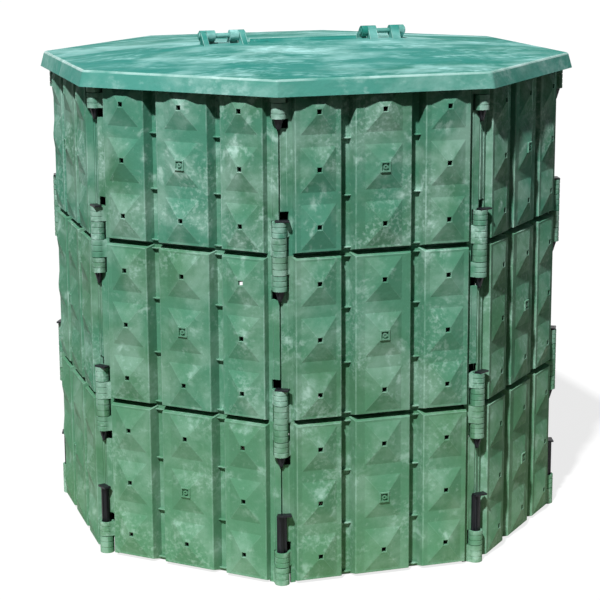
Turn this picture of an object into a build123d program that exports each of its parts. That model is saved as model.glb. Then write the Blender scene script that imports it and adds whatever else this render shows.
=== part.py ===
from build123d import *
import math
import os

# Eight-sided garden compost bin. Three rows of eight equal wall panels are pinned together at
# the corners, and a lid of two equal leaves, hinged along the ridge, closes the top.
# Millimetres, +Z up, origin on the ground under the centre. One panel faces -Y, the lid folds on X.

# Wall layout
sides = 8
rows = 3
row_height = 350.0
panel_span = 435.8            # between the two pin axes of a panel
wall = 4.0                    # moulded wall of a panel
flange_setback = 2.5          # pin axis plane to the face of a corner flange
corner_gap = 1.2              # between neighbouring panels at a corner
flange_strip = 13.0           # plain strip along the corner edge of a flange
flange_band_rise = 1.8        # raised band between that strip and the column

# Columns and channels of a panel
middle_column = 120.0
outer_column = 97.5
column_proud = 14.0           # column front ahead of the pin axis plane
channel_depth = 25.0
channel_mouth = 31.0
channel_floor = 18.0
column_flank = 4.0            # run of the column side beside the flange
column_end_land = 1.5         # flat edge of the panel above and below a column
column_end_bevel = 6.0
gusset_thickness = 3.0
gusset_inset = 17.0           # gusset edge behind the column fronts

# Raised cells on the columns
cells = 3
cell_height = 92.0
middle_cell_width = 80.0
outer_cell_width = 75.0
cell_rise = 6.0
vent_size = 10.0
vent_border = 1.5
gate_plate = 22.0             # square plate round the moulding gate
gate_plate_rise = 0.8
gate_recess = 15.5
gate_recess_depth = 2.6
gate_stud_diameter = 9.5
gate_dimple_diameter = 4.2
gate_dimple_depth = 3.6

# Corner knuckles
knuckle_diameter = 31.0
knuckle_bore = 22.0
near_start = 0.5              # panel edge to the near knuckle
near_length = 37.5
knuckle_gap = 1.5
far_length = 31.5
bands = 3                     # moulded rings on a knuckle
band_groove_width = 2.2
band_groove_depth = 0.8
web_reach = 20.0              # web of a knuckle along its own flange
web_angle = 24.0              # where the web meets the front of its knuckle, in degrees
notch_slot = 3.5              # open slot in the flange beside the neighbour's knuckle
notch_clearance = 1.0         # above and below the neighbour's knuckle
window_width = 17.0           # cut in the flange beyond the far knuckle
window_height = 20.0

# Corner pins
pin_clearance = 0.4           # around the pin in the bore
pin_back_clearance = 0.8      # flat back of the pin to the flanges
pin_rib = 6.0                 # thickness of the T-shaped shank
pin_tip_length = 24.0
pin_tip_diameter = 7.0
pin_tip_showing = 24.0        # tip below the lowest knuckle
pin_head_width = 16.0
pin_head_reach = 20.0
pin_head_back = 9.0
pin_head_thickness = 4.0
ground_pin_showing = 79.0     # shank above the bottom knuckles
ground_clearance = 1.0
head_turns = (-12.0, 8.0, -5.0, 12.0)   # lean of the heads, in degrees, repeated round the bin

# Lid
lid_overhang = 25.1           # top edge of the skirt outside the pin axis plane
skirt_flare = 9.0
skirt_height = 34.0
skirt_wall = 4.0
skirt_corner_radius = 12.0
lid_wall = 4.5
lid_edge_radius = 6.0
lid_seat_height = 4.5         # bearing rib under the lid
lid_seat_width = 7.0
rim_land = 14.0               # level band inside the lid edge
ridge_rise = 26.0
ridge_half_length = 205.0     # level stretch of the ridge each side of the centre
leaf_gap = 1.5
ridge_web = 3.5
leaf_rib = 3.5
leaf_rib_spacing = 190.0

# Lid hinges
hinge_offset = 190.0          # centre of the lid to the centre of a hinge
hinge_width = 102.0
hinge_axis_rise = 16.0        # above the ridge
hinge_radius = 12.0
arm_crest = 60.0              # where the back of an arm meets its eye, in degrees
ear_width = 13.0
ear_foot = 42.0
hinge_knuckle_width = 20.0
hinge_knuckle_foot = 28.0
hinge_side_gap = 1.0
hinge_pin_diameter = 11.0
hinge_pin_clearance = 0.4
hinge_pin_head_diameter = 16.0
hinge_pin_head = 2.5
hinge_pin_end_gap = 0.4
ridge_lip_rise = 8.0          # upstand between the hinges
ridge_lip_gap = 12.0
ridge_notch_depth = 13.0      # cut-out of the ridge between the ears
ridge_notch_gap = 3.0         # ear to that cut-out

# Sizes that follow from the ones above
turn = 360.0 / sides
half_turn = math.radians(turn / 2)
apothem = panel_span / 2 / math.tan(half_turn)
pin_circle = panel_span / 2 / math.sin(half_turn)
wall_top = rows * row_height
flange_face = flange_setback
flange_back = flange_setback + wall
column_face = -column_proud
cell_face = column_face - cell_rise
channel_face = column_face + channel_depth
channel_back = channel_face + wall
column_edge = middle_column / 2 + channel_mouth + outer_column
flange_end = (apothem - flange_back) * math.tan(half_turn) - corner_gap / 2
channel_slope = (channel_mouth - channel_floor) / 2
cell_pitch = row_height / cells
far_start = near_start + near_length + knuckle_gap
far_end = far_start + far_length
notch_depth = flange_end - panel_span / 2 + knuckle_diameter / 2 + notch_slot
pin_diameter = knuckle_bore - 2 * pin_clearance
pin_back = flange_setback / math.cos(half_turn) - pin_back_clearance
seam_pin_length = 2 * far_end + pin_tip_showing
ground_pin_length = far_end + ground_pin_showing - ground_clearance
top_pin_length = far_end - near_start + pin_tip_showing
lid_underside = wall_top + lid_seat_height
lid_edge = lid_underside + lid_wall
skirt_bottom = lid_edge - skirt_height
lid_apothem = apothem + lid_overhang
ridge_height = lid_edge + ridge_rise
roof_run = lid_apothem - rim_land
hinge_axis_height = ridge_height + hinge_axis_rise
hinge_bore = hinge_pin_diameter + 2 * hinge_pin_clearance

directions = ("front", "front_right", "right", "rear_right", "rear", "rear_left", "left", "front_left")
row_names = ("bottom", "middle", "top")


def block(x_range, y_range, z_range):
    """Box between two limits on each axis."""
    size = [high - low for low, high in (x_range, y_range, z_range)]
    centre = [(high + low) / 2 for low, high in (x_range, y_range, z_range)]
    return Pos(*centre) * Box(*size)


def upright_rectangle(x_range, z_range, depth):
    """Rectangle facing -Y at the given depth."""
    x0, x1 = x_range
    z0, z1 = z_range
    return Face(Wire.make_polygon([(x0, depth, z0), (x1, depth, z0), (x1, depth, z1), (x0, depth, z1)]))


def frustum(base, base_depth, front, front_depth):
    """Straight-sided block between two upright rectangles, each an x and a z range."""
    sections = [upright_rectangle(*base, base_depth), upright_rectangle(*front, front_depth)]
    return loft(sections, ruled=True)


def mirrored(x_range, side):
    """X range on the right (side 1) or the left (side -1) of a panel."""
    low, high = sorted(side * x for x in x_range)
    return (low, high)


# Wall panel

def column_ranges():
    """Front and base x ranges and the cell width of the three columns."""
    inner = middle_column / 2 + channel_mouth
    outer_front = (inner, column_edge)
    outer_base = (inner - channel_slope, column_edge + column_flank)
    middle_front = (-middle_column / 2, middle_column / 2)
    middle_base = (-middle_column / 2 - channel_slope, middle_column / 2 + channel_slope)
    ranges = [(middle_front, middle_base, middle_cell_width)]
    for side in (1, -1):
        ranges.append((mirrored(outer_front, side), mirrored(outer_base, side), outer_cell_width))
    return ranges


def column(front, base, inset):
    """Tapered column of a panel, or with an inset the hollow behind it."""
    end = column_end_land + inset
    base_box = ((base[0] + inset, base[1] - inset), (end, row_height - end))
    end += column_end_bevel
    front_box = ((front[0] + inset, front[1] - inset), (end, row_height - end))
    return frustum(base_box, channel_face + inset, front_box, column_face + inset)


def cell(centre_x, centre_z, width, inset):
    """Shallow pyramid on a column, or with an inset the hollow behind it."""
    tip = vent_size / 2 + vent_border
    base = ((centre_x - width / 2, centre_x + width / 2),
            (centre_z - cell_height / 2, centre_z + cell_height / 2))
    top = ((centre_x - tip, centre_x + tip), (centre_z - tip, centre_z + tip))
    return frustum(base, column_face + inset, top, cell_face + inset)


def cell_centres():
    """Centre x, centre z and width of each cell, with the moulding gate's cell last."""
    centres = []
    for front, base, width in column_ranges():
        for index in range(cells):
            centres.append(((front[0] + front[1]) / 2, (index + 0.5) * cell_pitch, width))
    gate = min(centres, key=lambda c: abs(c[0]) + abs(c[1] - row_height / 2))
    centres.remove(gate)
    return centres + [gate]


def gussets():
    """Thin cross plates in the two channels."""
    lowest = column_end_land + column_end_bevel
    levels = [lowest + gusset_thickness / 2]
    levels += [index * cell_pitch for index in range(1, cells)]
    levels.append(row_height - lowest - gusset_thickness / 2)
    centre = middle_column / 2 + channel_mouth / 2
    front = column_face + gusset_inset
    grip = wall / 4
    narrow = channel_floor / 2 + grip
    wide = channel_floor / 2 + channel_slope * (channel_face - front) / channel_depth + grip
    root = channel_face + wall / 2
    plates = []
    for side in (1, -1):
        outline = [(side * centre - narrow, root), (side * centre - narrow, channel_face),
                   (side * centre - wide, front), (side * centre + wide, front),
                   (side * centre + narrow, channel_face), (side * centre + narrow, root)]
        plate = extrude(make_face(Polyline(*outline, close=True)), amount=gusset_thickness, dir=(0, 0, 1))
        plates += [Pos(0, 0, level - gusset_thickness / 2) * plate for level in levels]
    return plates


def knuckle(length):
    """Ringed tube along +Z with the pin bore through it."""
    outer = knuckle_diameter / 2
    band = (length - (bands - 1) * band_groove_width) / bands
    profile = [(knuckle_bore / 2, 0, 0)]
    for index in range(bands):
        low = index * (band + band_groove_width)
        profile += [(outer, 0, low), (outer, 0, low + band)]
        if index < bands - 1:
            groove = outer - band_groove_depth
            profile += [(groove, 0, low + band), (groove, 0, low + band + band_groove_width)]
    profile.append((knuckle_bore / 2, 0, length))
    return revolve(make_face(Polyline(*profile, close=True)), Axis.Z)


def pin_bore(side, start, length):
    """Bore of a knuckle at one edge of a panel."""
    return Pos(side * panel_span / 2, 0, start + length / 2) * Cylinder(knuckle_bore / 2, length)


def knuckle_with_web(side, start, length):
    """Knuckle at one edge of a panel with the web that joins it to its own flange."""
    axis_x = panel_span / 2
    foot = flange_end - web_reach
    radius = knuckle_diameter / 2
    lean = math.radians(web_angle)
    shoulder = (axis_x - radius * math.cos(lean), -radius * math.sin(lean))
    outline = [(foot, flange_back), (foot, flange_face), shoulder, (axis_x, 0), (flange_end, flange_back)]
    outline = [(side * x, y) for x, y in outline]
    web = extrude(make_face(Polyline(*outline, close=True)), amount=length, dir=(0, 0, 1))
    ring = Pos(side * axis_x, 0, start) * knuckle(length)
    return (Pos(0, 0, start) * web - pin_bore(side, start, length)) + ring


def both_ends(start, length):
    """Start heights of a feature measured from the bottom and from the top edge of a panel."""
    return (start, row_height - start - length)


def edge_cut(side, width, start, length):
    """Block that cuts the corner edge of a flange."""
    x_range = mirrored((flange_end - width, panel_span / 2), side)
    y_range = (flange_face - flange_band_rise - wall, flange_back + wall)
    return block(x_range, y_range, (start, start + length))


def wall_panel():
    """One moulded panel, bottom edge at z = 0, far knuckles on the left and near ones on the right."""
    base_edge = column_edge + column_flank
    base = block((-base_edge, base_edge), (channel_face, channel_back), (0, row_height))
    flanges = []
    for side in (1, -1):
        flanges.append(block(mirrored((column_edge, flange_end), side), (flange_face, flange_back),
                             (0, row_height)))
        flanges.append(block(mirrored((column_edge, flange_end - flange_strip), side),
                             (flange_face - flange_band_rise, flange_face), (0, row_height)))
    columns = [column(front, base, 0) for front, base, width in column_ranges()]
    hollows = [column(front, base, wall) for front, base, width in column_ranges()]
    raised = [cell(x, z, width, 0) for x, z, width in cell_centres()]
    sunk = [cell(x, z, width, wall) for x, z, width in cell_centres()]
    panel = base + (columns + raised + flanges)
    panel = panel - (hollows + sunk)

    half_vent = vent_size / 2
    vents = [block((x - half_vent, x + half_vent), (cell_face - wall, column_face + 2 * wall),
                   (z - half_vent, z + half_vent)) for x, z, width in cell_centres()[:-1]]
    cuts = []
    for start in both_ends(near_start - notch_clearance, near_length + 2 * notch_clearance):
        cuts.append(edge_cut(-1, notch_depth, start, near_length + 2 * notch_clearance))
    for start in both_ends(far_start - notch_clearance, far_length + 2 * notch_clearance):
        cuts.append(edge_cut(1, notch_depth, start, far_length + 2 * notch_clearance))
    for start in both_ends(far_end, window_height):
        cuts.append(edge_cut(-1, window_width, start, window_height))
    knuckles = []
    for side, start, length in ((-1, far_start, far_length), (1, near_start, near_length)):
        for low in both_ends(start, length):
            cuts.append(pin_bore(side, low, length))
            knuckles.append(knuckle_with_web(side, low, length))
    panel = panel - (vents + cuts)
    panel = panel + (gussets() + knuckles)
    return moulding_gate(panel)


def moulding_gate(panel):
    """Plate with a square recess and a dimpled stud on the middle cell of a panel."""
    x, z, width = cell_centres()[-1]
    facing = Pos(x, cell_face, z) * Rot(90, 0, 0)
    root = -wall / 2
    floor = gate_plate_rise - gate_recess_depth
    middle = (gate_plate_rise + floor) / 2
    plate = Box(gate_plate, gate_plate, gate_plate_rise - root)
    plate = facing * Pos(0, 0, (gate_plate_rise + root) / 2) * plate
    recess = facing * Pos(0, 0, middle) * Box(gate_recess, gate_recess, gate_recess_depth)
    stud = facing * Pos(0, 0, middle) * Cylinder(gate_stud_diameter / 2, gate_recess_depth)
    dimple = Cylinder(gate_dimple_diameter / 2, 2 * gate_dimple_depth)
    return panel + plate - recess + stud - facing * Pos(0, 0, gate_plate_rise) * dimple


def place_panel(panel, row, index):
    """Panel in its row, with every second row turned end for end."""
    if row % 2 == 1:
        panel = Pos(0, 0, row_height) * Rot(0, 180, 0) * panel
    return Rot(0, 0, index * turn) * Pos(0, -apothem, row * row_height) * panel


# Corner pin

def corner_pin(length):
    """T-shaped pin along Z, flat at the back, with the underside of its flat head at z = 0."""
    radius = pin_diameter / 2
    shank = block((-radius, radius), (pin_back - pin_rib, pin_back), (-length, 0))
    shank = shank + block((-pin_rib / 2, pin_rib / 2), (-radius, pin_back), (-length, 0))
    outline = [(0, 0, -length), (pin_tip_diameter / 2, 0, -length), (radius, 0, pin_tip_length - length),
               (radius, 0, 0), (0, 0, 0)]
    envelope = revolve(make_face(Polyline(*outline, close=True)), Axis.Z)
    head = block((-pin_head_back, pin_head_reach), (pin_back - pin_head_width, pin_back),
                 (0, pin_head_thickness))
    return (shank & envelope) + head


def place_pin(pin, index, head_height, lean):
    """Pin at a corner, with its head along the corner's tangent, turned by lean."""
    bearing = math.radians((index + 0.5) * turn)
    x = pin_circle * math.sin(bearing)
    y = -pin_circle * math.cos(bearing)
    return Pos(x, y, head_height) * Rot(0, 0, (index + 0.5) * turn + lean) * pin


# Lid

def octagon(flat_distance, height):
    """Level eight-sided face with flats square to X and Y."""
    radius = flat_distance / math.cos(half_turn)
    corners = [math.radians((index + 0.5) * turn) for index in range(sides)]
    return Face(Wire.make_polygon([(radius * math.cos(a), radius * math.sin(a), height) for a in corners]))


def rounded_octagon(flat_distance, height, radius):
    """Level eight-sided face with rounded corners."""
    face = octagon(flat_distance, height)
    return face.fillet_2d(radius, face.vertices())


def skirt_block(inset, top):
    """Flared eight-sided block of the lid, or with an inset the hollow inside it."""
    radius = skirt_corner_radius - inset
    flare = skirt_flare * (top - skirt_bottom) / skirt_height
    low = rounded_octagon(lid_apothem + skirt_flare - inset, skirt_bottom, radius)
    high = rounded_octagon(lid_apothem + skirt_flare - flare - inset, top, radius)
    return loft([low, high], ruled=True)


def roof(drop):
    """Shallow hipped roof on the level band of the lid, lowered by drop."""
    base = lid_edge - drop
    ends = [(-ridge_half_length, 0, base + ridge_rise), (ridge_half_length, 0, base + ridge_rise)]
    rim = [tuple(v) for v in octagon(roof_run, base).outer_wire().vertices()]
    rim.sort(key=lambda p: math.atan2(p[1], p[0]) % (2 * math.pi))
    outlines = [rim]
    for index, corner in enumerate(rim):
        following = rim[(index + 1) % sides]
        middle_x = (corner[0] + following[0]) / 2
        if corner[0] * following[0] < 0:
            outlines.append([corner, following] + (ends if following[0] < 0 else ends[::-1]))
        else:
            outlines.append([corner, following, ends[1] if middle_x > 0 else ends[0]])
    return Solid(Shell([Face(Wire.make_polygon(points)) for points in outlines]))


def roof_height(distance):
    """Height of the roof's front slope at a distance from the ridge."""
    return ridge_height - ridge_rise * distance / roof_run


def hinge_arm(centre_x, width, foot):
    """Upright arm from the front leaf to a round eye on the hinge axis."""
    root = lid_wall / 2
    back = leaf_gap / 2
    crest = math.radians(arm_crest)
    outline = [(-foot, roof_height(foot) - root), (-back, roof_height(back) - root),
               (-back, hinge_axis_height),
               (-hinge_radius * math.cos(crest), hinge_axis_height + hinge_radius * math.sin(crest))]
    points = [(centre_x - width / 2, y, z) for y, z in outline]
    arm = extrude(make_face(Polyline(*points, close=True)), amount=width, dir=(1, 0, 0))
    eye = Pos(centre_x, 0, hinge_axis_height) * Rot(0, 90, 0) * Cylinder(hinge_radius, width)
    bore = Pos(centre_x, 0, hinge_axis_height) * Rot(0, 90, 0) * Cylinder(hinge_bore / 2, 2 * width)
    return arm + eye - bore


def hinge_arms():
    """Ears of the left hinge and knuckles of the right hinge, all on the front leaf."""
    ear_place = hinge_width / 2 - ear_width / 2
    knuckle_place = hinge_width / 2 - ear_width - hinge_side_gap - hinge_knuckle_width / 2
    arms = [hinge_arm(-hinge_offset + side * ear_place, ear_width, ear_foot) for side in (1, -1)]
    arms += [hinge_arm(hinge_offset + side * knuckle_place, hinge_knuckle_width, hinge_knuckle_foot)
             for side in (1, -1)]
    return arms


def lid_shell():
    """Hollow hipped cap of the whole lid with its skirt."""
    cap = skirt_block(0, lid_edge)
    cap = fillet(cap.faces().sort_by(Axis.Z)[-1].edges(), lid_edge_radius)
    hollow = skirt_block(skirt_wall, lid_underside) + roof(lid_wall)
    return cap + roof(0) - hollow


def front_half(low, high):
    """Space of the front leaf between two heights."""
    reach = lid_apothem + skirt_flare
    return block((-reach, reach), (-reach, -leaf_gap / 2), (low, high))


def bearing_sector(start, end):
    """Upright wedge from the middle of the lid between two bearings, in degrees from the front."""
    reach = 2 * lid_apothem
    outline = [(0, 0, skirt_bottom)]
    for bearing in (math.radians(start), math.radians(end)):
        outline.append((reach * math.sin(bearing), -reach * math.cos(bearing), skirt_bottom))
    return extrude(make_face(Polyline(*outline, close=True)), amount=skirt_height, dir=(0, 0, 1))


def seat_ring():
    """Bearing rib round the underside of the whole lid."""
    seat_middle = apothem - channel_face - wall / 2
    outside = octagon(seat_middle + lid_seat_width / 2, wall_top)
    inside = octagon(seat_middle - lid_seat_width / 2, wall_top)
    ring = extrude(outside, amount=lid_seat_height + lid_wall / 2)
    return ring - extrude(inside, amount=lid_seat_height + lid_wall)


def straight_stretches(name, ring):
    """Part of a ring below the front leaf, in straight stretches: the front, the sides and the ends."""
    band = ring & front_half(skirt_bottom, lid_underside)
    stretches = {name: [(-turn / 2, turn / 2)]}
    stretches[f"{name}_sides"] = [(turn / 2, 3 * turn / 2), (-3 * turn / 2, -turn / 2)]
    stretches[f"{name}_ends"] = [(3 * turn / 2, 5 * turn / 2), (-5 * turn / 2, -3 * turn / 2)]
    cut = {}
    for stretch, sectors in stretches.items():
        solids = [band & bearing_sector(start, end) for start, end in sectors]
        cut[stretch] = solids[0] if len(solids) == 1 else Compound(children=solids)
    return cut


def front_leaf():
    """Front half of the lid's roof with its ribs, bearing rib root, hinge arms and ridge cut-out."""
    rib_end = apothem - channel_back - lid_seat_width / 2
    rib_heights = (lid_underside, ridge_height)
    ridge_back = (-leaf_gap / 2 - ridge_web, -leaf_gap / 2)
    ribs = [block((x - leaf_rib / 2, x + leaf_rib / 2), (-rib_end, -leaf_gap / 2), rib_heights)
            for x in (-leaf_rib_spacing, 0, leaf_rib_spacing)]
    ribs.append(block((-rib_end, rib_end), ridge_back, rib_heights))
    inner = skirt_block(skirt_wall, lid_underside + lid_wall / 2) + roof(lid_wall / 2)
    shell = lid_shell() & front_half(lid_underside, ridge_height)
    seat_root = seat_ring() & front_half(lid_underside, ridge_height)
    leaf = shell + ([rib & inner for rib in ribs] + [seat_root])

    lip_reach = hinge_offset - hinge_width / 2 - ridge_lip_gap
    lip = block((-lip_reach, lip_reach), ridge_back,
                (ridge_height - lid_wall, ridge_height + ridge_lip_rise))
    notch_half = hinge_width / 2 - ear_width - ridge_notch_gap
    notch = block((-hinge_offset - notch_half, -hinge_offset + notch_half),
                  (-ridge_notch_depth, 0), rib_heights)
    return leaf - notch + ([lip] + hinge_arms())


def hinge_pin():
    """Round pin along X with a flat head at each end."""
    shank_length = hinge_width + 2 * hinge_pin_end_gap
    pin = Cylinder(hinge_pin_diameter / 2, shank_length)
    for side in (1, -1):
        middle = side * (shank_length + hinge_pin_head) / 2
        pin = pin + Pos(0, 0, middle) * Cylinder(hinge_pin_head_diameter / 2, hinge_pin_head)
    return Rot(0, 90, 0) * pin


# Assembly

def assembly():
    """Every piece of the bin by name."""
    pieces = {}
    panel = wall_panel()
    for row, row_name in enumerate(row_names):
        for index, direction in enumerate(directions):
            pieces[f"{row_name}_panel_{direction}"] = place_panel(panel, row, index)

    seam_pin = corner_pin(seam_pin_length)
    ground_pin = corner_pin(ground_pin_length)
    for index in range(sides):
        corner = index + 1
        lean = head_turns[index % len(head_turns)]
        head = ground_clearance + ground_pin_length
        pieces[f"ground_pin_{corner}"] = place_pin(ground_pin, index, head, lean)
        for row, seam_name in enumerate(("lower", "upper"), start=1):
            lean = head_turns[(index + row) % len(head_turns)]
            head = row * row_height + far_end
            pieces[f"{seam_name}_seam_pin_{corner}"] = place_pin(seam_pin, index, head, lean)
    top_pin = corner_pin(top_pin_length)
    top_pins = [place_pin(top_pin, index, wall_top - near_start, 0) for index in range(sides)]
    pieces["top_pins"] = Compound(children=top_pins)

    lid_parts = {"leaf": front_leaf()} | straight_stretches("skirt", lid_shell())
    lid_parts |= straight_stretches("seat", seat_ring())
    for name, moulding in lid_parts.items():
        pieces[f"front_lid_{name}"] = moulding
        pieces[f"rear_lid_{name}"] = Rot(0, 0, 180) * moulding
    for side, side_name in ((-1, "left"), (1, "right")):
        pieces[f"{side_name}_hinge_pin"] = Pos(side * hinge_offset, 0, hinge_axis_height) * hinge_pin()
    return pieces


os.makedirs("parts", exist_ok=True)
for name, piece in assembly().items():
    export_step(piece, f"parts/{name}.step")
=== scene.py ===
"""Dress an eight-sided garden compost bin: marbled wall panels, a folding lid and dark corner pins."""
import logging
import math
from collections.abc import Callable
from dataclasses import dataclass, field
from enum import Enum, IntEnum

import bmesh
import bpy
from mathutils import Matrix, Vector


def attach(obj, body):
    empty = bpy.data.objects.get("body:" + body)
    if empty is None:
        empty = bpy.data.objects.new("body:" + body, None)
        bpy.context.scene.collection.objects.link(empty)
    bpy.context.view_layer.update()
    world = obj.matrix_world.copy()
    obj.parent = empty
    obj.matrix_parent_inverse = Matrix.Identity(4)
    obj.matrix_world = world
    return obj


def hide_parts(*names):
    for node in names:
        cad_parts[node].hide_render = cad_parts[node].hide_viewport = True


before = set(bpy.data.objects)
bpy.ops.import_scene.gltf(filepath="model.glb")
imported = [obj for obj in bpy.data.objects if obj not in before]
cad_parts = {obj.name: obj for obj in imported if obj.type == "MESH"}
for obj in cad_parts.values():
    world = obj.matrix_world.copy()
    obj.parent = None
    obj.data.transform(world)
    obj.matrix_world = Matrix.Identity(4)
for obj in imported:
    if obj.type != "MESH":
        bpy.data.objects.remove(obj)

log = logging.getLogger("compost_bin")

Colour = tuple[float, float, float]
Span = tuple[float, float]
EdgeRule = Callable[[Vector, Vector], bool]
FaceRule = Callable[[Vector, Vector], bool]

PLAIN_SLOT = 0


class Slot(Enum):
    """Material slots of the record that the pieces take their finish from."""

    WALL = "wall_green"
    LID = "lid_green"
    PIN = "pin_black"


class WallFace(IntEnum):
    """Mesh material slots of a wall panel, besides the plain one."""

    # Rounded edges and knuckle bands, paler: partly wear, partly painted highlight.
    EDGE = 1
    # Cell ridges, paler lines: partly wear, partly painted highlight.
    RIDGE = 2


class LidFace(IntEnum):
    """Mesh material slots of a lid leaf, besides the plain one."""

    # Skirt faces take a paler copy of the lid plastic, painted light.
    SKIRT = 1
    # Rounded edges and the rim, paler: partly wear, partly painted highlight.
    EDGE = 2


class Octaves(Enum):
    """Octaves of a noise and the weight of the finer ones."""

    SOFT = (2.0, 0.5)
    PLAIN = (3.0, 0.5)
    FLECKED = (3.0, 0.55)
    ROUGH = (3.0, 0.6)
    FINE = (4.0, 0.6)
    RICH = (5.0, 0.6)
    DUSTY = (5.0, 0.65)


class NodeGraph:
    """Node tree of one procedural material, built a node at a time."""

    def __init__(self, name: str) -> None:
        """Start an empty material.

        Args:
            name: Name of the material.
        """
        self.material = bpy.data.materials.new(name)
        self.material.use_nodes = True
        self.tree = self.material.node_tree
        self.shader = self.tree.nodes["Principled BSDF"]

    def add(self, kind: str, inputs: dict | None = None, **settings: object) -> bpy.types.Node:
        """Add a node, set its options and fill its inputs.

        Args:
            kind: Blender's type name of the node.
            inputs: Values or output sockets by input name or index.
            settings: Options of the node.

        Returns:
            The new node.
        """
        node = self.tree.nodes.new(kind)
        for option, value in settings.items():
            setattr(node, option, value)
        for key, value in (inputs or {}).items():
            self.feed(node.inputs[key], value)
        return node

    def feed(self, socket: bpy.types.NodeSocket, value: object) -> None:
        """Link an output socket to an input, or set the input's own value."""
        if isinstance(value, bpy.types.NodeSocket):
            self.tree.links.new(value, socket)
        else:
            socket.default_value = value

    def math(self, operation: str, first: object, second: object = 0.0) -> bpy.types.NodeSocket:
        """Result of a Math node."""
        return self.add("ShaderNodeMath", {0: first, 1: second}, operation=operation).outputs[0]

    def noise(self, vector: object, seed: object, scale: float, octaves: Octaves) -> bpy.types.NodeSocket:
        """Four-dimensional noise whose fourth coordinate tells the mouldings apart.

        Args:
            vector: Place on the piece.
            seed: Fourth coordinate.
            scale: Features per metre, roughly.
            octaves: How detailed and how rough the noise is.

        Returns:
            The noise value.
        """
        detail, roughness = octaves.value
        inputs = {"Vector": vector, "W": seed, "Scale": scale, "Detail": detail, "Roughness": roughness}
        return self.add("ShaderNodeTexNoise", inputs, noise_dimensions="4D").outputs[0]

    def ramp(self, value: object, low: float, high: float,
             bottom: float = 0.0, top: float = 1.0) -> bpy.types.NodeSocket:
        """Value between low and high spread smoothly over bottom to top."""
        inputs = {"Value": value, "From Min": low, "From Max": high, "To Min": bottom, "To Max": top}
        return self.add("ShaderNodeMapRange", inputs, interpolation_type="SMOOTHSTEP").outputs[0]

    def total(self, *values: object) -> bpy.types.NodeSocket:
        """Sum of several values."""
        result = values[0]
        for value in values[1:]:
            result = self.math("ADD", result, value)
        return result

    def product(self, *values: object) -> bpy.types.NodeSocket:
        """Product of several values."""
        result = values[0]
        for value in values[1:]:
            result = self.math("MULTIPLY", result, value)
        return result

    def mix(self, factor: object, first: object, second: object) -> bpy.types.NodeSocket:
        """Colour between two colours by a factor.

        Inputs 6 and 7 and output 2 of Blender's Mix node are its colours.
        """
        node = self.add("ShaderNodeMix", data_type="RGBA")
        self.feed(node.inputs[0], factor)
        for index, colour in ((6, first), (7, second)):
            self.feed(node.inputs[index], (*colour, 1.0) if isinstance(colour, tuple) else colour)
        return node.outputs[2]


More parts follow.
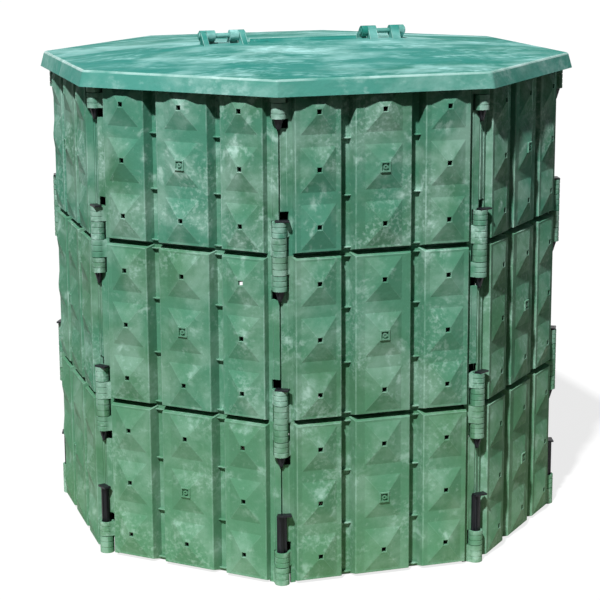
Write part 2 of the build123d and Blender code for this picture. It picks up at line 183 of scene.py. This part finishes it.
@dataclass(frozen=True)
class MarbledPlastic:
    """Recycled plastic with pale clouds, strokes and mottles that flowed in the mould.

    The flow is drawn out along the axes by stretch and swirled by warp, in metres. Scales are
    features per metre, depths are metres, and wear_and_highlight adds paleness in patches along
    edges: partly rubbed wear, partly painted highlight lines.
    A span is the run of noise values over which a mark goes from nothing to full, and a ratio is a
    scale as a multiple of the cloud's or the stroke's. Low panels take some of the earthy colour and
    lose some of their marbling.
    """

    name: str
    base: Colour
    shade: Colour
    pale: Colour
    stretch: tuple[float, float, float]
    warp: float
    cloud_scale: float
    cloud_amount: float
    stroke_scale: float
    stroke_amount: float
    mottle_scale: float
    mottle_amount: float
    roughness: Span
    specular: float
    dent_depth: float
    ripple_depth: float
    wear_and_highlight: float = 0.0
    earthy: Colour = (0.094, 0.226, 0.117)
    earthy_share: float = 0.6
    fading: float = 0.4
    swirl_ratio: float = 0.55
    swirl_detail: float = 2.5
    tone_ratio: float = 0.5
    tone_span: Span = (0.38, 0.62)
    scuff_span: Span = (0.3, 0.7)
    cloud_span: Span = (0.42, 0.68)
    patch_ratio: float = 0.8
    strand_ratio: float = 1.3
    cluster_span: Span = (0.49, 0.61)
    mottle_span: Span = (0.46, 0.66)
    stroke_span: Span = (0.50, 0.71)
    fleck_span: Span = (0.60, 0.72)
    fleck_ratio: float = 2.6
    fleck_share: float = 0.3
    rub_and_highlight_ratio: float = 0.6
    rub_and_highlight_span: Span = (0.36, 0.62)
    dent_scale: float = 22.0
    peel_scale: float = 150.0
    peel_share: float = 0.3
    ripple_scale: float = 90.0
    ripple_patch_scale: float = 7.0
    ripple_span: Span = (0.46, 0.62)
    grain_scale: float = 800.0
    grain_depth: float = 0.0002

    def material(self) -> bpy.types.Material:
        """Build the material.

        Returns:
            A material on Object coordinates, varied by the pieces' moulding and lowness attributes.
        """
        graph = NodeGraph(self.name)
        place = graph.add("ShaderNodeTexCoord").outputs["Object"]
        seed = graph.add("ShaderNodeAttribute", attribute_name="moulding").outputs["Fac"]
        drawn = graph.add("ShaderNodeMapping", {"Vector": place, "Scale": self.stretch}).outputs[0]
        flow = self.swirl(graph, drawn, seed)

        tone = graph.noise(drawn, seed, self.cloud_scale * self.tone_ratio, Octaves.PLAIN)
        fresh = graph.mix(graph.ramp(tone, *self.tone_span), self.base, self.shade)
        lowness = graph.add("ShaderNodeAttribute", attribute_name="lowness").outputs["Fac"]
        ground = graph.mix(graph.product(lowness, self.earthy_share), fresh, self.earthy)
        kept = graph.math("SUBTRACT", 1.0, graph.product(lowness, self.fading))
        paleness = graph.product(self.paleness(graph, drawn, flow, seed), kept)
        graph.feed(graph.shader.inputs["Base Color"], graph.mix(paleness, ground, self.pale))

        scuff = graph.noise(flow, seed, self.stroke_scale, Octaves.FINE)
        dullness = graph.ramp(scuff, *self.scuff_span, *self.roughness)
        graph.feed(graph.shader.inputs["Roughness"], dullness)
        graph.shader.inputs["Specular IOR Level"].default_value = self.specular
        graph.feed(graph.shader.inputs["Normal"], self.relief(graph, place, drawn, seed))
        return graph.material

    def swirl(self, graph: NodeGraph, drawn: object, seed: object) -> bpy.types.NodeSocket:
        """Place on the piece, pushed about as the melt swirled.

        Args:
            graph: Material that is being built.
            drawn: Place on the piece, drawn out along the axes.
            seed: The moulding's own number.

        Returns:
            The swirled place.
        """
        scale = self.cloud_scale * self.swirl_ratio
        inputs = {"Vector": drawn, "W": seed, "Scale": scale, "Detail": self.swirl_detail}
        swirl = graph.add("ShaderNodeTexNoise", inputs, noise_dimensions="4D").outputs["Color"]
        average = (0.5, 0.5, 0.5)
        centred = graph.add("ShaderNodeVectorMath", {0: swirl, 1: average}, operation="SUBTRACT")
        push = {0: centred.outputs[0], "Scale": self.warp}
        pushed = graph.add("ShaderNodeVectorMath", push, operation="SCALE").outputs[0]
        return graph.add("ShaderNodeVectorMath", {0: drawn, 1: pushed}, operation="ADD").outputs[0]

    def paleness(self, graph: NodeGraph, drawn: object, flow: object, seed: object) -> bpy.types.NodeSocket:
        """Share of the pale colour from clouds, brushed strokes, mottles and edges, partly worn and partly
        painted highlight.

        Args:
            graph: Material that is being built.
            drawn: Place on the piece, drawn out along the axes.
            flow: The swirled place.
            seed: The moulding's own number.

        Returns:
            A value between 0 and 1.
        """
        patch_scale = self.cloud_scale * self.patch_ratio
        strand_scale = self.cloud_scale * self.strand_ratio
        fleck_scale = self.stroke_scale * self.fleck_ratio
        clouds = graph.ramp(graph.noise(flow, seed, self.cloud_scale, Octaves.RICH), *self.cloud_span)
        patches = graph.ramp(graph.noise(drawn, seed, patch_scale, Octaves.SOFT), *self.cluster_span)
        mottles = graph.ramp(graph.noise(drawn, seed, self.mottle_scale, Octaves.ROUGH), *self.mottle_span)
        strands = graph.ramp(graph.noise(drawn, seed, strand_scale, Octaves.SOFT), *self.cluster_span)
        strokes = graph.ramp(graph.noise(flow, seed, self.stroke_scale, Octaves.FINE), *self.stroke_span)
        flecks = graph.ramp(graph.noise(flow, seed, fleck_scale, Octaves.FLECKED), *self.fleck_span)
        parts = [graph.product(clouds, self.cloud_amount),
                 graph.product(mottles, patches, self.mottle_amount),
                 graph.product(strokes, strands, self.stroke_amount),
                 graph.product(flecks, self.stroke_amount * self.fleck_share)]
        # Paler patches along edges: partly wear, partly painted highlight.
        if self.wear_and_highlight:
            rubs_and_highlights = graph.noise(drawn, seed, self.stroke_scale * self.rub_and_highlight_ratio, Octaves.ROUGH)
            parts.append(graph.product(graph.ramp(rubs_and_highlights, *self.rub_and_highlight_span), self.wear_and_highlight))
        return graph.add("ShaderNodeClamp", {"Value": graph.total(*parts)}).outputs[0]

    def relief(self, graph: NodeGraph, place: object, drawn: object, seed: object) -> bpy.types.NodeSocket:
        """Shallow dents, flow ripples and the grain of the mould.

        Args:
            graph: Material that is being built.
            place: Place on the piece.
            drawn: The same, drawn out along the axes.
            seed: The moulding's own number.

        Returns:
            The surface normal.
        """
        peel_depth = self.dent_depth * self.peel_share
        dents = graph.product(graph.noise(place, seed, self.dent_scale, Octaves.PLAIN), self.dent_depth)
        peel = graph.product(graph.noise(place, seed, self.peel_scale, Octaves.SOFT), peel_depth)
        patches = graph.noise(place, seed, self.ripple_patch_scale, Octaves.SOFT)
        waves = graph.noise(drawn, seed, self.ripple_scale, Octaves.ROUGH)
        ripples = graph.product(waves, graph.ramp(patches, *self.ripple_span), self.ripple_depth)
        grain = graph.product(graph.noise(place, seed, self.grain_scale, Octaves.SOFT), self.grain_depth)
        height = graph.total(dents, peel, ripples, grain)
        return graph.add("ShaderNodeBump", {"Height": height, "Distance": 1.0}).outputs[0]


@dataclass(frozen=True)
class DarkPlastic:
    """Near-black plastic of the pins with fine draw marks along them, and dust in patches."""

    name: str
    base: Colour
    worn: Colour
    roughness: Span
    specular: float = 0.2
    draw_stretch: tuple[float, float, float] = (1.0, 1.0, 0.06)
    mark_scale: float = 420.0
    mark_seed: float = 0.3
    mark_span: Span = (0.45, 0.75)
    mark_depth: float = 0.0002
    mark_strength: float = 0.6
    dust_scale: float = 60.0
    dust_seed: float = 0.7
    dust_span: Span = (0.4, 0.7)
    dull_span: Span = (0.35, 0.7)

    def material(self) -> bpy.types.Material:
        """Build the material.

        Returns:
            A material on Object coordinates.
        """
        graph = NodeGraph(self.name)
        place = graph.add("ShaderNodeTexCoord").outputs["Object"]
        drawn = graph.add("ShaderNodeMapping", {"Vector": place, "Scale": self.draw_stretch}).outputs[0]
        marks = graph.noise(drawn, self.mark_seed, self.mark_scale, Octaves.FINE)
        dust = graph.noise(place, self.dust_seed, self.dust_scale, Octaves.DUSTY)
        worn = graph.product(graph.ramp(marks, *self.mark_span), graph.ramp(dust, *self.dust_span))
        graph.feed(graph.shader.inputs["Base Color"], graph.mix(worn, self.base, self.worn))
        dullness = graph.ramp(dust, *self.dull_span, *self.roughness)
        graph.feed(graph.shader.inputs["Roughness"], dullness)
        graph.shader.inputs["Specular IOR Level"].default_value = self.specular
        height = {"Height": marks, "Distance": self.mark_depth, "Strength": self.mark_strength}
        graph.feed(graph.shader.inputs["Normal"], graph.add("ShaderNodeBump", height).outputs[0])
        return graph.material


class Finishes:
    """Materials of the bin, made once and shared by its pieces."""

    def __init__(self) -> None:
        """Make every material."""
        wall = {"stretch": (1.0, 1.0, 1.0), "warp": 0.09, "cloud_scale": 10.0, "stroke_scale": 36.0,
                "mottle_scale": 110.0, "roughness": (0.50, 0.70), "specular": 0.04,
                "dent_depth": 0.0018, "ripple_depth": 0.0, "cloud_amount": 0.42, "stroke_amount": 0.70,
                "mottle_amount": 0.42, "base": (0.074, 0.254, 0.172), "shade": (0.073, 0.210, 0.121),
                "pale": (0.40, 0.61, 0.53)}
        lid = {"stretch": (0.6, 1.0, 1.0), "warp": 0.13, "cloud_scale": 8.0, "stroke_scale": 22.0,
               "mottle_scale": 60.0, "roughness": (0.40, 0.60), "specular": 0.01,
               "dent_depth": 0.0024, "ripple_depth": 0.0012}
        # The roof and the skirt are one plastic. The roof colour is darker, painted shade against the sun
        # on the top, and the skirt colour paler, painted light.
        roof_painted_shade = {"cloud_amount": 0.60, "stroke_amount": 0.70, "mottle_amount": 0.40,
                "base": (0.029, 0.229, 0.192), "shade": (0.018, 0.188, 0.141), "pale": (0.43, 0.76, 0.74)}
        skirt = {"cloud_amount": 0.42, "stroke_amount": 0.50, "mottle_amount": 0.25,
                 "base": (0.078, 0.305, 0.252), "shade": (0.070, 0.280, 0.220), "pale": (0.46, 0.69, 0.65)}
        self.wall = MarbledPlastic("wall_plastic", **wall).material()
        # Edge and ridge finishes have paler patches along edges: partly wear, partly painted highlight.
        self.wall_edge_worn_and_highlit = MarbledPlastic("wall_edge_worn_and_highlit", wear_and_highlight=0.50, **wall).material()
        self.wall_ridge_worn_and_highlit = MarbledPlastic("wall_ridge_worn_and_highlit", wear_and_highlight=0.20, **wall).material()
        # The lid plastic takes the darker roof colour, painted shade; the skirt plastic takes the paler
        # skirt colour, painted light.
        self.lid = MarbledPlastic("lid_plastic", **lid, **roof_painted_shade).material()
        self.skirt = MarbledPlastic("skirt_plastic_painted_light", **lid, **skirt).material()
        # The rim finish has paler patches, partly wear and partly painted highlight, with a real gloss.
        rim = {**lid, **skirt, "specular": 0.25, "roughness": (0.22, 0.38)}
        self.lid_edge_worn_and_highlit = MarbledPlastic("lid_edge_worn_and_highlit", wear_and_highlight=0.6, **rim).material()
        pin = DarkPlastic("pin_plastic", (0.009, 0.010, 0.013), (0.040, 0.044, 0.052), (0.30, 0.50))
        self.pin = pin.material()


@dataclass(frozen=True)
class EdgeRounding:
    """Rounding of outer edges, with limits on the edges that it takes.

    Lengths are metres and angles are degrees. The room is the least breadth of the faces beside an
    edge, in widths of the rounding.
    """

    width: float
    segments: int = 2
    least_angle: float = 32.0
    most_angle: float = 180.0
    least_length: float = 0.0
    most_length: float = 10.0
    room: float = 1.6

    def takes(self, edge: bmesh.types.BMEdge) -> bool:
        """Tell whether an edge is convex, sharp enough, of a fit length and between wide enough faces."""
        if not edge.is_manifold or not edge.is_convex:
            return False
        angle = math.degrees(edge.calc_face_angle(0.0))
        length = edge.calc_length()
        breadth = min(face.calc_area() for face in edge.link_faces) / length
        return (self.least_angle < angle < self.most_angle and breadth > self.room * self.width
                and self.least_length <= length <= self.most_length)


class Moulding:
    """Merged copy of CAD meshes that is finished as one moulded piece."""

    def __init__(self, name: str, nodes: list[str], materials: list[bpy.types.Material]) -> None:
        """Copy the meshes of one or more nodes and unite them in one new object.

        Args:
            name: Name of the piece.
            nodes: CAD nodes that the piece is made from.
            materials: Its material slots, with the plain surface's first.
        """
        self.piece = self.copy(name, nodes[0])
        for node in nodes[1:]:
            self.unite(self.copy(node + "_copy", node))
        self.piece.data.materials.clear()
        for material in materials:
            self.piece.data.materials.append(material)
        self.select(self.piece)
        self.merge(flatness=1.0)

    def select(self, piece: bpy.types.Object) -> None:
        """Select one object alone and make it the active one."""
        bpy.ops.object.select_all(action="DESELECT")
        piece.select_set(True)
        bpy.context.view_layer.objects.active = piece

    def copy(self, name: str, node: str) -> bpy.types.Object:
        """Copy a node's mesh with its loose triangles merged.

        Args:
            name: Name of the copy.
            node: CAD node.

        Returns:
            The new object.
        """
        piece = bpy.data.objects.new(name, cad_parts[node].data.copy())
        bpy.context.scene.collection.objects.link(piece)
        self.select(piece)
        self.merge()
        return piece

    def unite(self, other: bpy.types.Object) -> None:
        """Unite another object's mesh with the piece and remove that object."""
        self.select(self.piece)
        bpy.ops.object.modifier_add(type="BOOLEAN")
        union = self.piece.modifiers[-1]
        union.operation = "UNION"
        union.solver = "EXACT"
        union.object = other
        bpy.ops.object.modifier_apply(modifier=union.name)
        bpy.data.objects.remove(other)

    def merge(self, reach: float = 2e-5, flatness: float = 0.0) -> None:
        """Merge corners that lie on each other and faces that lie in one plane.

        Args:
            reach: Corners closer than this become one.
            flatness: Faces that turn by less than this many degrees become one.
        """
        bpy.ops.object.mode_set(mode="EDIT")
        bpy.ops.mesh.select_all(action="SELECT")
        bpy.ops.mesh.remove_doubles(threshold=reach)
        if flatness:
            bpy.ops.mesh.dissolve_limited(angle_limit=math.radians(flatness))
        bpy.ops.object.mode_set(mode="OBJECT")

    def deepen(self, level: float, factor: float, reach: float) -> None:
        """Raise the relief that stands in front of a level.

        Args:
            level: Depth that the relief starts from.
            factor: How many times prouder the relief becomes.
            reach: Half width of the part that is raised.
        """
        for corner in self.piece.data.vertices:
            if corner.co.y < level and abs(corner.co.x) < reach:
                corner.co.y = level + (corner.co.y - level) * factor

    def round_edges(self, rounding: EdgeRounding, slot: int, rule: EdgeRule | None = None) -> int:
        """Round the outer edges that a rule picks.

        Args:
            rounding: Width and limits of the rounding.
            slot: Material slot of the rounded faces.
            rule: Rule on an edge's middle point and direction.

        Returns:
            How many edges were rounded.
        """
        bpy.ops.object.mode_set(mode="EDIT")
        bpy.ops.mesh.select_mode(type="EDGE")
        bpy.ops.mesh.select_all(action="DESELECT")
        mesh = bmesh.from_edit_mesh(self.piece.data)
        picked = 0
        for edge in mesh.edges:
            start, end = (corner.co for corner in edge.verts)
            run = (end - start).normalized()
            if rounding.takes(edge) and (rule is None or rule((start + end) / 2, run)):
                edge.select_set(True)
                picked += 1
        bmesh.update_edit_mesh(self.piece.data)
        bpy.ops.mesh.bevel(offset=rounding.width, segments=rounding.segments,
                           clamp_overlap=False, material=slot)
        bpy.ops.object.mode_set(mode="OBJECT")
        return picked

    def crease(self, least_angle: float, least_length: float, rule: EdgeRule) -> int:
        """Keep the long folds between flat faces sharp, so that facets stay flat.

        Args:
            least_angle: Flattest fold that is kept, in degrees.
            least_length: Shortest fold that is kept.
            rule: Rule on an edge's middle point and direction.

        Returns:
            How many folds were kept.
        """
        mesh = bmesh.new()
        mesh.from_mesh(self.piece.data)
        kept = 0
        for edge in mesh.edges:
            start, end = (corner.co for corner in edge.verts)
            plain = all(face.material_index == PLAIN_SLOT for face in edge.link_faces)
            long_enough = edge.is_manifold and edge.calc_length() >= least_length
            if plain and long_enough and rule((start + end) / 2, end - start):
                if edge.calc_face_angle(0.0) > math.radians(least_angle):
                    edge.smooth = False
                    kept += 1
        mesh.to_mesh(self.piece.data)
        mesh.free()
        return kept

    def paint(self, slot: int, rule: FaceRule) -> int:
        """Give the faces that a rule picks a material slot of their own.

        Args:
            slot: Material slot.
            rule: Rule on a face's middle point and normal.

        Returns:
            How many faces were painted.
        """
        picked = [face for face in self.piece.data.polygons if rule(face.center, face.normal)]
        for face in picked:
            face.material_index = slot
        return len(picked)

    def smooth(self, angle: float = 50.0, flat_slot: int | None = None) -> None:
        """Shade smoothly over edges flatter than an angle, with flat faces kept flat.

        Args:
            angle: Edges that fold by less than this many degrees are smoothed.
            flat_slot: First material slot of long narrow faces that stay flat.
        """
        bpy.ops.object.shade_smooth_by_angle(angle=math.radians(angle), keep_sharp_edges=True)
        for face in self.piece.data.polygons:
            if flat_slot is not None and face.material_index >= flat_slot:
                face.use_smooth = False
        bpy.ops.object.modifier_add(type="WEIGHTED_NORMAL")
        self.piece.modifiers[-1].keep_sharp = True
        bpy.ops.object.modifier_apply(modifier=self.piece.modifiers[-1].name)

    def seed(self, value: float) -> None:
        """Give the moulding its own run of the marbling."""
        stamp(self.piece, value)


def stamp(piece: bpy.types.Object, value: float, label: str = "moulding") -> None:
    """Store a number on a piece's mesh for its material to read.

    Args:
        piece: Piece to mark.
        value: Number that sets the piece's finish apart.
        label: Name of the attribute.
    """
    mesh = piece.data
    if label in mesh.attributes:
        mesh.attributes.remove(mesh.attributes[label])
    numbers = mesh.attributes.new(label, "FLOAT", "POINT")
    numbers.data.foreach_set("value", [value] * len(mesh.vertices))


@dataclass
class Walls:
    """Three rows of eight equal panels."""

    finishes: Finishes
    row_height: float = 0.350
    column_face: float = -0.540
    face_reach: float = 0.002
    knuckle_zone: float = 0.1935
    ring_front: float = -0.527
    flange_middle: float = -0.522
    cell_foot: float = -0.5385
    gate_reach: float = 0.016
    cell_relief: float = 1.7
    upright: float = 0.98
    level_run: float = 0.5
    side_tilt: float = 0.3
    row_seed: float = 1.7
    facet_seed: float = 5.3
    row_names: tuple[str, ...] = ("bottom", "middle", "top")
    directions: tuple[str, ...] = ("front", "front_right", "right", "rear_right",
                                   "rear", "rear_left", "left", "front_left")

    def panel(self) -> bpy.types.Object:
        """Model the bottom front panel, from which all others are copied.

        Returns:
            The finished panel.
        """
        def within(middle: Vector, _run: Vector) -> bool:
            return abs(middle.x) < self.knuckle_zone

        def on_ring(middle: Vector, run: Vector) -> bool:
            return not within(middle, run) and middle.y < self.ring_front and abs(run.z) < self.level_run

        def on_band(middle: Vector, normal: Vector) -> bool:
            at_front = not within(middle, normal) and middle.y < self.ring_front
            return at_front and abs(normal.z) < self.side_tilt

        def on_flange(middle: Vector, run: Vector) -> bool:
            return not within(middle, run) and middle.y < self.flange_middle and abs(run.z) > self.upright

        def on_cell(middle: Vector, run: Vector) -> bool:
            clear = abs(middle.x) > self.gate_reach or abs(middle.z - self.row_height / 2) > self.gate_reach
            return clear and within(middle, run) and middle.y < self.cell_foot

        def column_side(middle: Vector, run: Vector) -> bool:
            at_face = abs(middle.y - self.column_face) < self.face_reach
            return within(middle, run) and abs(run.z) > self.upright and at_face

        materials = [self.finishes.wall, self.finishes.wall_edge_worn_and_highlit, self.finishes.wall_ridge_worn_and_highlit]
        moulding = Moulding("wall_panel", ["bottom_panel_front"], materials)
        moulding.deepen(self.column_face, self.cell_relief, self.knuckle_zone)
        # Rounded edges take the paler edge finish: partly wear, partly painted highlight.
        sides = EdgeRounding(width=0.0018, segments=3, least_length=0.25)
        count = moulding.round_edges(sides, WallFace.EDGE, column_side)
        long_edges = EdgeRounding(width=0.0009, least_length=0.018)
        count += moulding.round_edges(long_edges, WallFace.EDGE, within)
        vents = EdgeRounding(width=0.0006, least_length=0.0085, most_length=0.0125, least_angle=60.0)
        count += moulding.round_edges(vents, WallFace.EDGE, within)
        rings = EdgeRounding(width=0.0004, least_length=0.0015, least_angle=60.0)
        count += moulding.round_edges(rings, WallFace.EDGE, on_ring)
        flanges = EdgeRounding(width=0.0006, least_length=0.15, least_angle=60.0)
        count += moulding.round_edges(flanges, WallFace.EDGE, on_flange)
        # Cell ridges take the paler ridge finish: partly wear, partly painted highlight lines.
        ridges = EdgeRounding(width=0.0005, segments=1, least_angle=5.0, most_angle=32.0, least_length=0.03)
        count += moulding.round_edges(ridges, WallFace.RIDGE, on_cell)
        folds = moulding.crease(least_angle=4.0, least_length=0.008, rule=within)
        moulding.smooth(flat_slot=WallFace.EDGE)
        # The knuckle bands take the same paler edge finish.
        moulding.paint(WallFace.EDGE, on_band)
        faces = len(moulding.piece.data.polygons)
        log.info("wall panel: %d edges rounded, %d folds kept, %d faces", count, folds, faces)
        return moulding.piece

    def place(self, row: int, index: int) -> Matrix:
        """Place of a panel, with every second row turned end for end.

        Args:
            row: Row from the bottom.
            index: Facet, counted anticlockwise from the front.

        Returns:
            Matrix that moves the bottom front panel there.
        """
        lifted = Matrix.Translation((0.0, 0.0, row * self.row_height))
        if row % 2:
            lifted = lifted @ Matrix.Translation((0.0, 0.0, self.row_height))
            lifted = lifted @ Matrix.Rotation(math.pi, 4, "Y")
        return Matrix.Rotation(index * math.tau / len(self.directions), 4, "Z") @ lifted

    def build(self) -> None:
        """Copy the panel to every place of the walls."""
        pattern = self.panel()
        for row, row_name in enumerate(self.row_names):
            for index, direction in enumerate(self.directions):
                node = f"{row_name}_panel_{direction}"
                panel = bpy.data.objects.new(f"panel_{row_name}_{direction}", pattern.data.copy())
                bpy.context.scene.collection.objects.link(panel)
                panel.data.transform(self.place(row, index))
                stamp(panel, self.row_seed * row + self.facet_seed * index)
                stamp(panel, 1.0 - row / (len(self.row_names) - 1), "lowness")
                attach(panel, "walls")
                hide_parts(node)
        bpy.data.objects.remove(pattern)
        log.info("walls: %d panels", len(self.row_names) * len(self.directions))


@dataclass
class Pins:
    """Dark pins through the corner knuckles."""

    finishes: Finishes
    corners: int = 8
    kinds: tuple[str, ...] = ("ground_pin", "lower_seam_pin", "upper_seam_pin")
    rounding: EdgeRounding = field(default_factory=lambda: EdgeRounding(width=0.0006, least_length=0.003))

    def dress(self, node: str, body: str) -> None:
        """Make one node's pins with softened edges.

        Args:
            node: CAD node of the pins.
            body: Body that they ride on.
        """
        moulding = Moulding(f"{node}_moulding", [node], [self.finishes.pin])
        moulding.round_edges(self.rounding, PLAIN_SLOT)
        moulding.smooth()
        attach(moulding.piece, body)
        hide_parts(node)

    def build(self) -> None:
        """Dress every pin."""
        for kind in self.kinds:
            for corner in range(1, self.corners + 1):
                self.dress(f"{kind}_{corner}", f"{kind}_{corner}")
        self.dress("top_pins", "walls")
        log.info("pins: %d kinds at %d corners", len(self.kinds) + 1, self.corners)


@dataclass
class Lid:
    """Two equal leaves with their skirts, and the hinge pins."""

    finishes: Finishes
    parts: tuple[str, ...] = ("leaf", "skirt", "skirt_sides", "skirt_ends",
                              "seat", "seat_sides", "seat_ends")
    rim_height: float = 1.059
    edge_drop: float = 0.0055
    seam_reach: float = 0.002
    seam_start: float = 0.206
    skirt_facing: float = 0.5
    rim_facing: float = 0.2
    rim_rise: float = 0.1
    leaf_seeds: tuple[tuple[str, float], ...] = (("front", 8.2), ("rear", 33.8))
    bar_seed: float = 3.1
    rounding: EdgeRounding = field(default_factory=lambda: EdgeRounding(width=0.0010, least_length=0.006))

    def leaf(self, side: str, seed: float) -> None:
        """Join a leaf and its skirt into one moulding.

        Args:
            side: Front or rear.
            seed: Number that sets its marbling apart.
        """
        def off_seam(middle: Vector, _run: Vector) -> bool:
            return abs(middle.y) > self.seam_reach or abs(middle.x) < self.seam_start

        def outward(middle: Vector, normal: Vector) -> float:
            return normal.xy.dot(middle.xy.normalized())

        def on_skirt(middle: Vector, normal: Vector) -> bool:
            below = middle.z < self.rim_height - self.edge_drop
            return below and outward(middle, normal) > self.skirt_facing

        def on_edge(middle: Vector, normal: Vector) -> bool:
            level = self.rim_height - self.edge_drop <= middle.z < self.rim_height
            return level and outward(middle, normal) > self.rim_facing and normal.z > self.rim_rise

        nodes = [f"{side}_lid_{part}" for part in self.parts]
        materials = [self.finishes.lid, self.finishes.skirt, self.finishes.lid_edge_worn_and_highlit]
        moulding = Moulding(f"{side}_leaf_moulding", nodes, materials)
        # Rounded edges and the rim take the paler rim finish: partly wear, partly painted highlight.
        count = moulding.round_edges(self.rounding, LidFace.EDGE, off_seam)
        # The skirt faces take the paler skirt colour, painted light; the roof keeps the darker colour,
        # painted shade.
        skirt = moulding.paint(LidFace.SKIRT, on_skirt)
        rim = moulding.paint(LidFace.EDGE, on_edge)
        log.info("%s leaf: %d faces on the skirt, %d on the rim", side, skirt, rim)
        moulding.smooth()
        moulding.seed(seed)
        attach(moulding.piece, f"{side}_lid")
        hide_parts(*nodes)
        log.info("%s leaf: %d edges rounded, %d faces", side, count, len(moulding.piece.data.polygons))

    def hinge_pin(self, side: str) -> None:
        """Dress the hinge pin of one side."""
        moulding = Moulding(f"{side}_hinge_bar", [f"{side}_hinge_pin"], [self.finishes.lid])
        moulding.smooth()
        moulding.seed(self.bar_seed)
        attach(moulding.piece, "lid_hinge")
        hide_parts(f"{side}_hinge_pin")

    def build(self) -> None:
        """Make both leaves and both hinge pins."""
        for side, seed in self.leaf_seeds:
            self.leaf(side, seed)
        for side in ("left", "right"):
            self.hinge_pin(side)


@dataclass(frozen=True)
class Studio:
    """Pale floor, soft light and the camera at the photograph's viewing angle."""

    sun_azimuth: float = -36.0
    sun_elevation: float = 51.0
    sun_strength: float = 4.85
    sun_spread: float = 2.5
    sky: Colour = (0.90, 0.97, 1.0)
    sky_strength: float = 0.075
    floor_size: float = 90.0
    paper: Colour = (0.92, 0.92, 0.92)
    paper_glow: float = 0.8
    paper_roughness: float = 0.9
    near_ground: Colour = (0.64, 0.58, 0.41)
    far_ground: Colour = (0.03, 0.03, 0.03)
    near_reach: Span = (0.7, 1.5)
    shaded_radius: float = 0.51
    camera_distance: float = 4.3230
    camera_height: float = 1.4601
    camera_azimuth: float = -17.523
    camera_pan: float = 0.135
    camera_pitch: float = -12.755
    camera_roll: float = -0.332
    focal_pixels: float = 1899.6
    image_pixels: float = 600.0
    sensor: float = 36.0

    def build(self) -> None:
        """Make the floor, the light and the camera."""
        self.floor()
        self.sun()
        self.surroundings()
        self.camera()

    def floor(self) -> None:
        """Lay a pale floor that keeps the bin's shadow."""
        bpy.ops.object.select_all(action="DESELECT")
        bpy.ops.mesh.primitive_plane_add(size=self.floor_size)
        floor = bpy.context.object
        floor.name = "floor"
        graph = NodeGraph("floor_paper")
        ray = graph.add("ShaderNodeLightPath").outputs
        bounced = graph.math("MAXIMUM", ray["Is Glossy Ray"], ray["Is Transmission Ray"])
        place = graph.add("ShaderNodeTexCoord").outputs["Object"]
        distance = graph.add("ShaderNodeVectorMath", {0: place}, operation="LENGTH").outputs["Value"]
        open_ground = graph.math("GREATER_THAN", distance, self.shaded_radius)
        seen = graph.product(graph.math("MAXIMUM", ray["Is Camera Ray"], bounced), open_ground)
        ground = graph.mix(graph.ramp(distance, *self.near_reach), self.near_ground, self.far_ground)
        graph.feed(graph.shader.inputs["Base Color"], graph.mix(seen, ground, self.paper))
        graph.shader.inputs["Roughness"].default_value = self.paper_roughness
        graph.shader.inputs["Specular IOR Level"].default_value = 0.0
        glow = graph.add("ShaderNodeEmission", {"Color": (1.0, 1.0, 1.0, 1.0), "Strength": 1.0}).outputs[0]
        shaders = {0: graph.product(seen, self.paper_glow), 1: graph.shader.outputs[0], 2: glow}
        paper = graph.add("ShaderNodeMixShader", shaders).outputs[0]
        graph.feed(graph.tree.nodes["Material Output"].inputs["Surface"], paper)
        floor.data.materials.append(graph.material)

    def sun(self) -> None:
        """Hang the main light high and a little left of the camera."""
        lamp = bpy.data.lights.new("key_light", "SUN")
        lamp.energy = self.sun_strength
        lamp.angle = math.radians(self.sun_spread)
        key = bpy.data.objects.new("key_light", lamp)
        key.rotation_euler = (math.radians(90.0 - self.sun_elevation), 0.0, math.radians(self.sun_azimuth))
        bpy.context.scene.collection.objects.link(key)

    def surroundings(self) -> None:
        """Fill the shadows with an even sky that looks white behind the bin."""
        world = bpy.data.worlds.new("sky")
        world.use_nodes = True
        tree = world.node_tree
        ray = tree.nodes.new("ShaderNodeLightPath").outputs
        seen = ray["Is Camera Ray"]
        for kind in ("Is Glossy Ray", "Is Transmission Ray"):
            either = tree.nodes.new("ShaderNodeMath")
            either.operation = "MAXIMUM"
            tree.links.new(seen, either.inputs[0])
            tree.links.new(ray[kind], either.inputs[1])
            seen = either.outputs[0]
        fill = tree.nodes["Background"]
        fill.inputs["Color"].default_value = (*self.sky, 1.0)
        fill.inputs["Strength"].default_value = self.sky_strength
        white = tree.nodes.new("ShaderNodeBackground")
        white.inputs["Color"].default_value = (1.0, 1.0, 1.0, 1.0)
        both = tree.nodes.new("ShaderNodeMixShader")
        tree.links.new(seen, both.inputs[0])
        tree.links.new(fill.outputs[0], both.inputs[1])
        tree.links.new(white.outputs[0], both.inputs[2])
        tree.links.new(both.outputs[0], tree.nodes["World Output"].inputs["Surface"])
        bpy.context.scene.world = world

    def camera(self) -> None:
        """Stand the camera where the photograph was taken from."""
        lens = bpy.data.cameras.new("photo_camera")
        lens.sensor_width = self.sensor
        lens.lens = self.focal_pixels * self.sensor / self.image_pixels
        lens.clip_end = 2.0 * self.floor_size
        azimuth = math.radians(self.camera_azimuth)
        heading = Matrix.Rotation(azimuth + math.radians(self.camera_pan), 4, "Z")
        tilt = Matrix.Rotation(math.radians(90.0 + self.camera_pitch), 4, "X")
        roll = Matrix.Rotation(math.radians(self.camera_roll), 4, "Z")
        spot = Vector((math.sin(azimuth), -math.cos(azimuth), 0.0)) * self.camera_distance
        spot.z = self.camera_height
        camera = bpy.data.objects.new("photo_camera", lens)
        camera.matrix_world = Matrix.Translation(spot) @ heading @ tilt @ roll
        bpy.context.scene.collection.objects.link(camera)
        bpy.context.scene.camera = camera


def main() -> None:
    """Build the bin's pieces in order and set them in the studio."""
    logging.basicConfig(level=logging.INFO, format="%(name)s: %(message)s")
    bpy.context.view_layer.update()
    bpy.context.scene.view_settings.view_transform = "Standard"
    finishes = Finishes()
    Walls(finishes).build()
    Pins(finishes).build()
    Lid(finishes).build()
    Studio().build()


if __name__ == "__main__":
    main()
